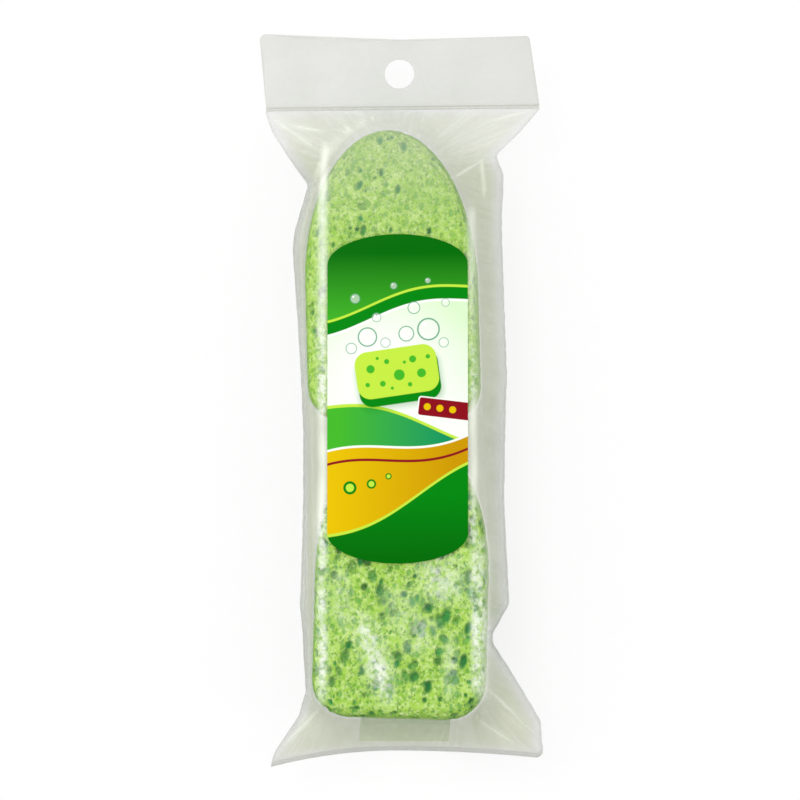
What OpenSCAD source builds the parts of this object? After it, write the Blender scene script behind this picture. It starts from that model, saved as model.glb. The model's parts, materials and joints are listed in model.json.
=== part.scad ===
// Hanging pack of two dish wand sponge refills, end to end in a clear film bag.
// The pack lies on its back: +Z out of the front face, +Y towards the hang hole.
// The origin is the centre of the outline, on the surface that the pack lies on.

/* [Refill] */
// Width of a sponge across its straight sides
refill_w = 54.6; // [50:0.2:58]
// Length of a sponge from its flat end to the tip of its nose
refill_l = 93; // [88:0.5:98]
// Length of the elliptical nose
nose_l = 48; // [38:1:52]
// Corner radius at the flat end
rear_r = 11.5; // [9:0.5:14]
// Thickness of the cellulose
sponge_t = 24; // [21:0.5:27]
// How far the tight film draws the front edge of the sponge in
edge_in = 3.3; // [2:0.1:4]
// How far down the side that rounding reaches
edge_down = 5; // [3:0.5:7]
// Clear space between the two refills
refill_gap = 1; // [0.6:0.2:3]
// How far each refill can shift lengthways in the bag
travel = 1.5; // [1:0.25:2.5]

/* [Refill placing] */
// Sideways place of the upper refill
upper_x = -2.2; // [-3:0.1:0]
// Lean of the upper refill, its nose to the left
upper_lean = 1.5; // [0:0.25:2]
// Sideways place of the lower refill
lower_x = 1.2; // [0:0.1:2]
// Lean of the lower refill, its nose to the right
lower_lean = -1.5; // [-2:0.25:0]

/* [Base] */
// Thickness of the moulded plate that carries the sponge
plate_t = 2.2; // [1.6:0.1:3]
// How far the plate stays inside the outline of the sponge
plate_in = 2.2; // [2:0.1:3.5]
// Height of the rim and ribs on the back of the plate
rim_h = 1; // [0.6:0.1:1.6]
// Width of the rim and ribs
rim_w = 1.4; // [1:0.1:2]
// Thickness of the hot-melt glue
glue_t = 0.3; // [0.2:0.05:0.6]
// How far the glue stays inside the outline of the sponge
glue_in = 4; // [3:0.5:7]
// Radius of the soap port through the plate
port_r = 3.5; // [2.5:0.25:5]
// Place of the soap port from the middle of the refill, towards the nose
port_y = 4; // [0:0.5:10]
// Bare ring round the soap port in the glue
port_bare = 1.5; // [1:0.25:3]

/* [Wand channel] */
// Width of the channel that the foot of the wand slides in
channel_w = 24.4; // [22:0.2:27]
// Height of the channel
channel_h = 4.8; // [4.4:0.1:5.6]
// Length of the two rails
rail_l = 44; // [38:1:46]
// Thickness of the rail webs
rail_t = 2; // [1.6:0.1:2.6]
// Thickness of the lips under the channel
lip_t = 1.6; // [1.2:0.1:2]
// How far each lip reaches in under the channel
lip_w = 3.2; // [2:0.2:5]
// Length of the stop wall at the nose end of the channel
stop_l = 2.4; // [1.6:0.1:4]
// Place of the stop from the middle of the refill, towards the nose
stop_y = 20; // [16:0.5:24]

/* [Latch arms] */
// Length of a latch arm from its hinge line to its tip
latch_l = 14; // [11:0.5:15]
// Thickness of a latch arm
latch_t = 1.6; // [1.2:0.1:2]
// How far the barb reaches into the channel
barb_in = 1.6; // [1:0.1:2.2]
// Length of the barb
barb_l = 3; // [2:0.25:4]
// Gap between a latch arm and the rail, plate or lip beside it
latch_gap = 0.2; // [0.15:0.05:0.4]

/* [Bag] */
// Width of the flat bag
bag_w = 89; // [86:0.5:94]
// Thickness of one film
film_t = 0.3; // [0.2:0.05:0.4]
// Clear space between the film and what it holds
film_gap = 0.3; // [0.3:0.05:0.6]
// How far the back film is drawn in under the base
back_in = 6; // [5:0.25:7]
// Width of the flat seam where the two films meet
seam_w = 1; // [0.8:0.1:1.4]
// Film from the tip of the upper nose to the header seal
shoulder_l = 8.3; // [7.5:0.1:10]
// Film from the flat end of the lower refill to the bottom seal
foot_l = 9.3; // [8.5:0.1:11]
// How far the bottom edge sags at its left corner
foot_sag_left = 5.25; // [4:0.25:6]
// How far the bottom edge sags at its right corner
foot_sag_right = 3; // [2:0.25:4]
// Width of the bottom seal
foot_seal_w = 1.6; // [1.2:0.1:2.4]

/* [Header] */
// Width of the seal between the header and the bag
header_seal_w = 1.2; // [1:0.1:2]
// Gap between that seal and the header's fold line
fold_gap = 0.15; // [0.1:0.05:0.3]
// Length of the header from its fold line to its left top corner
header_l = 23.2; // [20:0.2:28]
// How far the middle of the top edge dips below the left corner
header_dip = 2; // [1:0.25:3]
// Radius of the hang hole
hang_r = 4.75; // [3:0.25:6]
// Place of the hang hole above the fold line
hang_y = 10; // [8:0.5:12]

/* [Labels] */
// Width of the front label
label_w = 44.4; // [40:0.2:46]
// Length of the front label
label_l = 104; // [90:1:110]
// Rise of the arched top and bottom ends of the front label
label_arch = 9.6; // [5:0.2:12]
// Place of the front label's middle from the middle of the pack, towards the header
label_y = 0; // [-6:0.5:6]
// Thickness of a label
label_t = 0.15; // [0.1:0.05:0.25]
// Width of the back label
back_label_w = 29; // [24:1:31]
// Length of the back label's flat part
back_label_l = 52; // [40:1:60]

/* [Hidden] */

// Heights of the layers, from the table up
back_film_z = label_t;
lip_z = back_film_z + film_t + film_gap;
channel_z = lip_z + lip_t;
plate_z = channel_z + channel_h;
glue_z = plate_z + plate_t;
sponge_z = glue_z + glue_t;
sponge_top_z = sponge_z + sponge_t;
front_film_z = sponge_top_z + film_gap + film_t;
front_label_z = front_film_z;
seam_z = front_film_z / 2;

// Lengthways places
above_junction = refill_gap / 2 + refill_l + shoulder_l + header_seal_w + fold_gap + film_t + header_l;
below_junction = refill_gap / 2 + refill_l + foot_l + foot_seal_w + foot_sag_left;
junction_y = (below_junction - above_junction) / 2;
upper_y = junction_y + refill_gap / 2 + refill_l / 2;
lower_y = junction_y - refill_gap / 2 - refill_l / 2;
tip_y = upper_y + refill_l / 2;
end_y = lower_y - refill_l / 2;
seal_y = tip_y + shoulder_l;
fold_y = seal_y + header_seal_w + fold_gap + film_t;
foot_y = end_y - foot_l;

// Side fins of the bag: place along Y, then film beyond the refill on the left and on the right
corner = (bag_w - refill_w) / 2;
fins = [
    [seal_y, corner - 1, corner + 0.9],
    [tip_y + 5.2, corner - 1.8, corner - 1.6],
    [tip_y + 0.7, corner - 3.6, corner - 5.5],
    [tip_y - 7, 8.5, 4],
    [tip_y - 11, 5.6, 5.3],
    [tip_y - 15.5, 2.6, 6.2],
    [tip_y - 20, 3.2, 5.9],
    [tip_y - 30, 6.6, 5.6],
    [tip_y - 37, 7.3, 5.7],
    [tip_y - 61, 5.3, 6.7],
    [junction_y + 17, 4.6, 7.2],
    [junction_y - 2, 3.7, 6.6],
    [junction_y - 25, 3.7, 6.2],
    [end_y + 48, 4.2, 7.2],
    [end_y + 35.5, 4.6, 7.8],
    [end_y + 29, 3.9, 3.4],
    [end_y + 25, 3.7, 2.4],
    [end_y + 21, 3.7, 5],
    [end_y + 13.5, 3.2, 8.8],
    [end_y + 7.5, 2.8, corner - 5],
    [end_y + 4.5, 3.4, corner - 2.9],
    [end_y - 2, 5.6, corner + 0.7],
    [end_y - 6, 8.5, corner + 1.1],
    [foot_y, corner - 3.5, corner + 1.1]
];
row_step = 8;       // longest step between rows of film along the sides
end_row_step = 2.4; // longest step near the two ends
end_zone = 26;      // how far from each end the short step holds

// Outline of a refill about its middle, drawn in by an inset, counter-clockwise from the right
nose_steps = 32;
corner_steps = 6;
function refill_outline(inset = 0) = concat(
    nose_arc(inset),
    rear_arc(inset)
);
function nose_arc(inset) = [
    for (i = [0:nose_steps])
        let (a = 180 * i / nose_steps)
            [(refill_w / 2 - inset) * cos(a), refill_l / 2 - nose_l + (nose_l - inset) * sin(a)]
];
function rear_arc(inset) = concat(
    corner_arc(-1, 180, inset),
    corner_arc(1, 270, inset)
);
function corner_arc(side, start, inset) = [
    for (i = [0:corner_steps])
        let (a = start + 90 * i / corner_steps)
            [side * (refill_w / 2 - rear_r) + (rear_r - inset) * cos(a),
             rear_r - refill_l / 2 + (rear_r - inset) * sin(a)]
];

// A point of a refill in the pack, with the refill shifted along its own length
function in_pack(p, x, y, lean, shift = 0) = [
    x + p[0] * cos(lean) - (p[1] + shift) * sin(lean),
    y + p[0] * sin(lean) + (p[1] + shift) * cos(lean)
];

// Outline round both refills over their whole travel: upper nose, right flank, lower flat end
function contents_outline(inset) = concat(
    [for (p = nose_arc(inset)) in_pack(p, upper_x, upper_y, upper_lean, travel)],
    [for (p = rear_arc(inset)) in_pack(p, lower_x, lower_y, lower_lean, -travel)],
    [in_pack([refill_w / 2 - inset, refill_l / 2 - nose_l], lower_x, lower_y, lower_lean)]
);

// Plane geometry
function mix(a, b, t) = a + (b - a) * t;
function segment_distance(p, a, b) =
    let (ab = b - a, t = max(0, min(1, ((p - a) * ab) / (ab * ab))))
        norm(p - a - t * ab);
function outline_distance(p, outline) = min([
    for (i = [0:len(outline) - 1])
        segment_distance(p, outline[i], outline[(i + 1) % len(outline)])
]);
function crossings(outline, y) = [
    for (i = [0:len(outline) - 1])
        let (a = outline[i], b = outline[(i + 1) % len(outline)])
            if ((a[1] > y) != (b[1] > y)) mix(a[0], b[0], (y - a[1]) / (b[1] - a[1]))
];

// Edges of the bag as two lists of points from the header seal down, and its bottom edge
left_edge = [for (f = fins) [-refill_w / 2 - f[1], f[0]]];
right_edge = [for (f = fins) [refill_w / 2 + f[2], f[0]]];
function foot_drop(x) = x < 0
    ? foot_sag_left * pow(x / left_edge[len(fins) - 1][0], 2)
    : foot_sag_right * pow(x / right_edge[len(fins) - 1][0], 2);
function sagged(p) = let (near_foot = max(0, min(1, (end_y - p[1]) / foot_l)))
    [p[0], p[1] - foot_drop(p[0]) * near_foot];
function reversed(list) = [for (i = [len(list) - 1:-1:0]) list[i]];

// Rows of film: places between two neighbouring stations of the fins
function rows_between(a, b) =
    let (near_end = a[0] > tip_y - end_zone || b[0] < end_y + end_zone / 2,
         n = ceil((a[0] - b[0]) / (near_end ? end_row_step : row_step)))
        [for (i = [0:n - 1]) mix(a, b, i / n)];
film_rows = concat(
    [for (i = [0:len(fins) - 2]) each rows_between(fins[i], fins[i + 1])],
    [fins[len(fins) - 1]]
);

// One row's points across the bag: seam, fin, shoulder, flat, shoulder, fin, seam
nose_half = 3;                     // half width of the middle strip beyond the nose
foot_half = refill_w / 2 - rear_r; // half width of the middle strip beyond the flat end
end_hug = 5;                       // width of the shoulders beyond the nose and the flat end
function row_points(f, flat, hug) =
    let (cuts = crossings(flat, f[0]), mid = strip_middle(f), half = strip_half(f))
        len(cuts) > 1
            ? across(f, min(min(cuts), mid - half), max(max(cuts), mid + half), hug)
            : end_points(f);
function end_points(f) = across(f, strip_middle(f) - strip_half(f), strip_middle(f) + strip_half(f), end_hug);
function strip_middle(f) = f[0] > 0 ? upper_x : lower_x;
function strip_half(f) = f[0] > 0 ? nose_half : foot_half;
function across(f, cut_l, cut_r, hug) =
    let (l = -refill_w / 2 - f[1],
         r = refill_w / 2 + f[2],
         m_l = max(cut_l - hug, l + 1.3 * seam_w),
         m_r = min(cut_r + hug, r - 1.3 * seam_w))
        [for (x = [l, l + seam_w, mix(l + seam_w, m_l, 0.5), m_l, mix(m_l, cut_l, 0.5), cut_l,
                   mix(cut_l, cut_r, 0.33), mix(cut_l, cut_r, 0.67),
                   cut_r, mix(m_r, cut_r, 0.5), m_r, mix(r - seam_w, m_r, 0.5), r - seam_w, r])
            sagged([x, f[0]])];

// Distance from the bag's seams, with the corners between side and end seams rounded off
left_seam = [for (p = left_edge) sagged(p)];
right_seam = [for (p = right_edge) sagged(p)];
foot_seam = end_points(fins[len(fins) - 1]);
function path_distance(p, path) = min([
    for (i = [0:len(path) - 2]) segment_distance(p, path[i], path[i + 1])
]);
function seam_distance(p) =
    let (side = max(0.001, min(path_distance(p, left_seam), path_distance(p, right_seam)) - seam_w),
         end = max(0.001, min(seal_y - p[1], path_distance(p, foot_seam))))
        pow(pow(side, -2) + pow(end, -2), -0.5);

// Height of a film at a point: flat over the refills, round their edge, then straight to the seam
function film_height(p, flat, hug, flat_z, side_z) =
    let (cuts = crossings(flat, p[1]),
         within = len(cuts) > 1 && p[0] >= min(cuts) - 0.01 && p[0] <= max(cuts) + 0.01,
         from_flat = within ? 0 : outline_distance(p, flat),
         from_seam = seam_distance(p))
        from_flat < hug
            ? mix(flat_z, side_z, pow(from_flat / hug, 2.5))
            : mix(seam_z, side_z, from_seam / (from_seam + from_flat - hug + 0.001));

// A sheet with an upper and a lower face on the same grid of points
module sheet(upper_face, lower_face) {
    rows = len(upper_face);
    cols = len(upper_face[0]);
    base = rows * cols;
    points = concat([for (row = upper_face) each row], [for (row = lower_face) each row]);
    top = [
        for (i = [0:rows - 2], j = [0:cols - 2])
            let (a = i * cols + j)
                each [[a, a + 1, a + cols + 1], [a, a + cols + 1, a + cols]]
    ];
    edge = concat(
        [for (j = [0:cols - 1]) j],
        [for (i = [1:rows - 1]) i * cols + cols - 1],
        [for (j = [cols - 2:-1:0]) (rows - 1) * cols + j],
        [for (i = [rows - 2:-1:1]) i * cols]
    );
    wall = [
        for (k = [0:len(edge) - 1])
            let (a = edge[k], b = edge[(k + 1) % len(edge)])
                each [[b, a, a + base], [b, a + base, b + base]]
    ];
    polyhedron(points, concat(top, [for (f = top) [for (k = [2:-1:0]) f[k] + base]], wall));
}

// Films: each hugs the contents' edge for a short way, then runs straight to the seam
turn_gap = 0.95; // clear space where a film turns round the contents' edge
front_hug = edge_in;
back_hug = back_in + film_gap + 0.1;
side_top_z = sponge_top_z - edge_down + film_gap + film_t;
module bag_front_film() {
    flat = contents_outline(edge_in - turn_gap);
    rows = [for (f = film_rows) row_points(f, flat, front_hug)];
    inner = [
        for (row = rows) [
            for (p = row)
                [p[0], p[1], film_height(p, flat, front_hug, front_film_z - film_t, side_top_z)]
        ]
    ];
    color([0.88, 0.89, 0.86, 0.4])
        sheet([for (row = inner) [for (p = row) p + [0, 0, film_t]]], inner);
}

function back_film_height(p, flat) =
    film_height(p, flat, back_hug, back_film_z + film_t, sponge_z - film_gap);
module bag_back_film() {
    flat = contents_outline(back_in);
    rows = [for (f = film_rows) row_points(f, flat, back_hug)];
    inner = [
        for (row = rows) [
            for (p = row)
                [p[0], p[1], back_film_height(p, flat)]
        ]
    ];
    color([0.86, 0.87, 0.84, 0.4])
        sheet(inner, [for (row = inner) [for (p = row) p - [0, 0, film_t]]]);
}

// Seals and header
module header_seal() {
    l = left_edge[0][0];
    r = right_edge[0][0];
    color([0.8, 0.81, 0.79])
        translate([l, seal_y, seam_z - film_t])
            cube([r - l, header_seal_w, 2 * film_t]);
}

module bottom_seal() {
    lower = [for (p = reversed(foot_seam)) p - [0, foot_seal_w]];
    color([0.8, 0.81, 0.79])
        translate([0, 0, seam_z - film_t])
            linear_extrude(height = 2 * film_t)
                polygon(concat(foot_seam, lower));
}

// An outline with each corner rounded by its own radius
function rounded(points, radii, steps = 6) = [
    for (i = [0:len(points) - 1])
        let (p = points[i],
             a = points[(i + len(points) - 1) % len(points)] - p,
             b = points[(i + 1) % len(points)] - p,
             ua = a / norm(a),
             ub = b / norm(b),
             half = acos(ua * ub) / 2,
             middle = (ua + ub) / norm(ua + ub),
             centre = p + middle * radii[i] / sin(half),
             start = p + ua * radii[i] / tan(half) - centre,
             end = p + ub * radii[i] / tan(half) - centre,
             from = atan2(start[1], start[0]),
             turn = (atan2(end[1], end[0]) - from + 540) % 360 - 180)
            for (k = [0:steps]) centre + radii[i] * [cos(from + turn * k / steps), sin(from + turn * k / steps)]
];

module header_tab() {
    left = left_edge[0][0];
    right = right_edge[0][0];
    top = fold_y + header_l;
    outline = [
        [left + 0.2, fold_y], [right - 0.2, fold_y],
        [right - 3.4, top - 1.3], [0, top - header_dip], [left - 1.9, top]
    ];
    color([0.89, 0.9, 0.88, 0.5])
        difference() {
            union() {
                translate([0, 0, seam_z - film_t])
                    linear_extrude(height = 2 * film_t)
                        polygon(rounded(outline, [0.4, 0.4, 1.5, 60, 2]));
                translate([left + 0.6, fold_y, seam_z])
                    rotate([0, 90, 0])
                        cylinder(h = right - left - 1.2, r = film_t, $fn = 32);
            }
            translate([0, fold_y + hang_y, seam_z - 2 * film_t])
                cylinder(h = 4 * film_t, r = hang_r, $fn = 64);
        }
}

// Labels
arch_steps = 24;
function arch(y, side) = [
    for (i = [0:arch_steps])
        let (a = 180 * i / arch_steps)
            [side * label_w / 2 * cos(a), y + side * label_arch * sin(a)]
];
label_steps = 10;
label_margin = 1.6; // bare film between the back label and the bottom seal
label_gap = 1;      // how far the label's stiff paper bridges the curve of the film
module front_label() {
    outline = concat(
        arch(label_y + label_l / 2 - label_arch, 1),
        arch(label_y - label_l / 2 + label_arch, -1)
    );
    color([0.1, 0.55, 0.15])
        translate([(upper_x + lower_x) / 2, 0, front_label_z])
            linear_extrude(height = label_t)
                polygon(outline);
}

// It lies flat under the lower base and turns up over the end of the back film
module back_label() {
    flat = contents_outline(back_in);
    flat_end = end_y + back_in - travel;
    turned = [for (i = [0:label_steps]) mix(flat_end, foot_y + label_margin, i / label_steps)];
    line = concat(
        [[flat_end + back_label_l, back_film_z]],
        [
            for (y = turned)
                let (z = min([for (side = [-1:1]) back_film_height([lower_x + side * back_label_w / 2, y], flat)]),
                     gap = label_gap * min(1, (flat_end - y) / label_margin))
                    [y, max(back_film_z, z - film_t - gap)]
        ]
    );
    profile = concat(line, [for (p = reversed(line)) p - [0, label_t]]);
    color([0.93, 0.94, 0.92])
        translate([lower_x - back_label_w / 2, 0, 0])
            rotate([90, 0, 90])
                linear_extrude(height = back_label_w)
                    polygon(profile);
}

// Pieces of one refill, in its own frame: middle of the outline, nose towards +Y
module sponge() {
    color([0.68, 0.84, 0.42])
        hull() {
            translate([0, 0, sponge_z])
                linear_extrude(height = sponge_t - edge_down)
                    polygon(refill_outline());
            translate([0, 0, sponge_z])
                linear_extrude(height = sponge_t - edge_down / 3)
                    polygon(refill_outline(edge_in / 3));
            translate([0, 0, sponge_z])
                linear_extrude(height = sponge_t)
                    polygon(refill_outline(edge_in));
        }
}

module glue() {
    color([0.93, 0.9, 0.72])
        translate([0, 0, glue_z])
            difference() {
                linear_extrude(height = glue_t)
                    polygon(refill_outline(glue_in));
                translate([0, port_y, -glue_t])
                    cylinder(h = 3 * glue_t, r = port_r + port_bare, $fn = 48);
            }
}

rib_count = 4;
module base_plate() {
    web_out = channel_w / 2 + rail_t;
    rib_pitch = rail_l / rib_count;
    color([0.27, 0.55, 0.2])
        difference() {
            union() {
                translate([0, 0, plate_z])
                    linear_extrude(height = plate_t)
                        polygon(refill_outline(plate_in));
                translate([0, 0, plate_z - rim_h])
                    linear_extrude(height = rim_h)
                        difference() {
                            polygon(refill_outline(plate_in));
                            polygon(refill_outline(plate_in + rim_w));
                            // Way in for the foot of the wand
                            translate([-channel_w / 2, -refill_l])
                                square([channel_w, refill_l + stop_y]);
                        }
                for (side = [-1, 1], i = [0:rib_count - 1])
                    translate([side * (web_out + refill_w / 2 - plate_in - rim_w) / 2,
                               stop_y - (i + 0.5) * rib_pitch, plate_z - rim_h / 2])
                        cube([refill_w / 2 - plate_in - rim_w - web_out, rim_w, rim_h], center = true);
            }
            translate([0, port_y, plate_z - plate_t])
                cylinder(h = 3 * plate_t, r = port_r, $fn = 48);
        }
}

module rail(side) {
    // Web with a lip turned in under the channel
    web_in = channel_w / 2;
    profile = [
        [web_in, plate_z], [web_in, channel_z], [web_in - lip_w, channel_z], [web_in - lip_w, lip_z],
        [web_in + rail_t, lip_z], [web_in + rail_t, plate_z]
    ];
    color([0.24, 0.5, 0.18])
        mirror([side < 0 ? 1 : 0, 0, 0])
            translate([0, stop_y, 0])
                rotate([90, 0, 0])
                    linear_extrude(height = rail_l)
                        polygon(profile);
}

module channel_stop() {
    color([0.24, 0.5, 0.18])
        translate([-channel_w / 2 - rail_t, stop_y, lip_z])
            cube([channel_w + 2 * rail_t, stop_l, plate_z - lip_z]);
}

// A springy arm that turns about a hinge line at the open end of its rail
latch_y = stop_y - rail_l - latch_gap - latch_t / 2;
latch_x = channel_w / 2 + rail_t / 2;
module latch(side) {
    low = channel_z;
    high = plate_z - rim_h - latch_gap;
    inner = latch_x - latch_t / 2;
    color([0.3, 0.6, 0.22])
        mirror([side < 0 ? 1 : 0, 0, 0])
            translate([0, 0, low])
                union() {
                    translate([latch_x, latch_y, 0])
                        cylinder(h = high - low, r = latch_t / 2, $fn = 32);
                    linear_extrude(height = high - low)
                        polygon([
                            [inner, latch_y], [inner + latch_t, latch_y],
                            [inner + latch_t, latch_y - latch_l], [inner, latch_y - latch_l],
                            [inner - barb_in, latch_y - latch_l + barb_l * 0.7],
                            [inner - barb_in, latch_y - latch_l + barb_l],
                            [inner, latch_y - latch_l + barb_l]
                        ]);
                }
}

module in_upper() {
    translate([upper_x, upper_y, 0])
        rotate([0, 0, upper_lean])
            children();
}

module in_lower() {
    translate([lower_x, lower_y, 0])
        rotate([0, 0, lower_lean])
            children();
}

bag_front_film();
bag_back_film();
header_seal();
bottom_seal();
header_tab();
front_label();
back_label();

in_upper() sponge();  // upper_sponge
in_upper() glue();  // upper_glue
in_upper() base_plate();  // upper_base_plate
in_upper() rail(-1);  // upper_rail_left
in_upper() rail(1);  // upper_rail_right
in_upper() channel_stop();  // upper_stop
in_upper() latch(-1);  // upper_latch_left
in_upper() latch(1);  // upper_latch_right

in_lower() sponge();  // lower_sponge
in_lower() glue();  // lower_glue
in_lower() base_plate();  // lower_base_plate
in_lower() rail(-1);  // lower_rail_left
in_lower() rail(1);  // lower_rail_right
in_lower() channel_stop();  // lower_stop
in_lower() latch(-1);  // lower_latch_left
in_lower() latch(1);  // lower_latch_right
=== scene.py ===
# Hanging pack of two sponge refills in a clear film bag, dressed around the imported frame
import json
import math

import bmesh
import bpy
import numpy as np
from mathutils import Matrix, Vector, geometry, kdtree, noise


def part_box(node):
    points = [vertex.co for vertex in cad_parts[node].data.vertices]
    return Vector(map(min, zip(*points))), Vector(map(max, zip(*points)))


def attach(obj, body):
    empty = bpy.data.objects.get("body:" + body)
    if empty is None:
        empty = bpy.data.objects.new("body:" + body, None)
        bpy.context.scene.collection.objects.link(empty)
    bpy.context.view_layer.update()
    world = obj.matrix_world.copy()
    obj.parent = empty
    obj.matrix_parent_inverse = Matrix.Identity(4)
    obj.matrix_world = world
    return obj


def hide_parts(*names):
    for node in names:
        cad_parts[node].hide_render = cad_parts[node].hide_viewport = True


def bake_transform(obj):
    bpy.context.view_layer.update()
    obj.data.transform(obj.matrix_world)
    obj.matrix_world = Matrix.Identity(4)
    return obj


mm = 0.001
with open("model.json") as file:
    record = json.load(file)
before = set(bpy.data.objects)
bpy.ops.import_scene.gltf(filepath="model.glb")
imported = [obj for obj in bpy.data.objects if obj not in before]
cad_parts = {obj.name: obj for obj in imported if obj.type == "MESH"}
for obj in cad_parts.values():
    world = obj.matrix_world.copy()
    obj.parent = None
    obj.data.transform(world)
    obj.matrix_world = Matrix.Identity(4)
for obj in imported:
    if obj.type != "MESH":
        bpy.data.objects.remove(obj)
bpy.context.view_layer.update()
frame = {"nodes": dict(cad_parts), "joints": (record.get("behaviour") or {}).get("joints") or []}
cadNodes = frame["nodes"]
joints = {j["name"]: j for j in frame["joints"]}

# Places read from the frame, in metres
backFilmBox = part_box("bag_back_film")
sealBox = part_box("header_seal")
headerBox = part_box("header_tab")
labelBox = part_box("front_label")
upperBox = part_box("upper_sponge")
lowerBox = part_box("lower_sponge")
seamZ = (headerBox[0].z + headerBox[1].z) / 2
sealY = sealBox[0].y
foldY = headerBox[0].y
tipY = upperBox[1].y
endY = lowerBox[0].y
spongeTopZ = upperBox[1].z
spongeBottomZ = upperBox[0].z


# helpers
def newObject(name, verts, faces, body, material, replaced=(), smooth=True):
    mesh = bpy.data.meshes.new(name)
    mesh.from_pydata([tuple(v) for v in verts], [], [tuple(f) for f in faces])
    mesh.validate()
    obj = bpy.data.objects.new(name, mesh)
    bpy.context.scene.collection.objects.link(obj)
    if smooth:
        mesh.shade_smooth()
    mesh.materials.append(material)
    if replaced:
        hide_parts(*replaced)
    if body:
        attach(obj, body)
    return obj


def addAttribute(obj, name, values):
    attribute = obj.data.attributes.new(name, "FLOAT", "POINT")
    attribute.data.foreach_set("value", np.asarray(values, np.float32))


def waves(s, seed, lengths, phases=3):
    # Smooth noise along one line, between about -1 and 1
    rng = np.random.default_rng(seed)
    total = np.zeros_like(s)
    for length in lengths:
        for _ in range(phases):
            turn = rng.uniform(0, 2 * math.pi)
            stretch = rng.uniform(0.75, 1.35)
            total += np.sin(2 * math.pi * s / (length * stretch) + turn) / phases
    return total / len(lengths)


def ramp(x, low, high):
    t = np.clip((x - low) / (high - low), 0, 1)
    return t * t * (3 - 2 * t)


def distanceToPath(points, path, closed=False):
    ends = np.vstack([path[1:], path[:1]]) if closed else path[1:]
    starts = path if closed else path[:-1]
    best = np.full(points.shape[:-1], np.inf)
    for a, b in zip(starts, ends):
        ab = b - a
        size = float(ab @ ab)
        if size < 1e-16:
            continue
        t = np.clip(((points - a) @ ab) / size, 0, 1)
        best = np.minimum(best, np.linalg.norm(points - a - t[..., None] * ab, axis=-1))
    return best


def insidePath(points, path):
    x, y = points[..., 0], points[..., 1]
    within = np.zeros(points.shape[:-1], bool)
    for a, b in zip(path, np.vstack([path[1:], path[:1]])):
        crosses = (a[1] > y) != (b[1] > y)
        with np.errstate(divide="ignore", invalid="ignore"):
            at = a[0] + (y - a[1]) / (b[1] - a[1]) * (b[0] - a[0])
        within ^= crosses & (x < at)
    return within


def convexOutline(points):
    points = sorted({(round(float(p[0]), 6), round(float(p[1]), 6)) for p in points})

    def chain(row):
        kept = []
        for p in row:
            while len(kept) > 1:
                (ax, ay), (bx, by) = kept[-2], kept[-1]
                if (bx - ax) * (p[1] - ay) - (by - ay) * (p[0] - ax) > 0:
                    break
                kept.pop()
            kept.append(p)
        return kept[:-1]

    return np.array(chain(points) + chain(points[::-1]))


def brokenLine(stations, at):
    # A value at each place along straight runs between stations, with the corners eased over about 2 mm
    y = np.array([row[0] for row in stations]) * mm
    x = np.array([row[1] for row in stations]) * mm
    order = np.argsort(y)
    eased = [np.interp(at + step * mm, y[order], x[order]) for step in (-0.9, -0.45, 0, 0.45, 0.9)]
    return np.mean(eased, axis=0)


def gridNormals(grid):
    across = np.gradient(grid, axis=1)
    along = np.gradient(grid, axis=0)
    normals = np.cross(across, along)
    return normals / np.maximum(np.linalg.norm(normals, axis=2, keepdims=True), 1e-12)


def closedSheet(upper, lower):
    # Vertices and faces of a thin shell whose two skins are grids of points
    rows, cols = upper.shape[:2]
    base = rows * cols
    verts = np.concatenate([upper.reshape(-1, 3), lower.reshape(-1, 3)])
    faces = []
    for i in range(rows - 1):
        for j in range(cols - 1):
            a = i * cols + j
            b = a + cols
            faces.append((a, a + 1, b + 1, b))
            faces.append((base + a, base + b, base + b + 1, base + a + 1))
    edge = list(range(cols))
    edge += [i * cols + cols - 1 for i in range(1, rows)]
    edge += [(rows - 1) * cols + j for j in range(cols - 2, -1, -1)]
    edge += [i * cols for i in range(rows - 2, 0, -1)]
    for a, b in zip(edge, edge[1:] + edge[:1]):
        faces.append((b, a, base + a, base + b))
    return verts, faces


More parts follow.
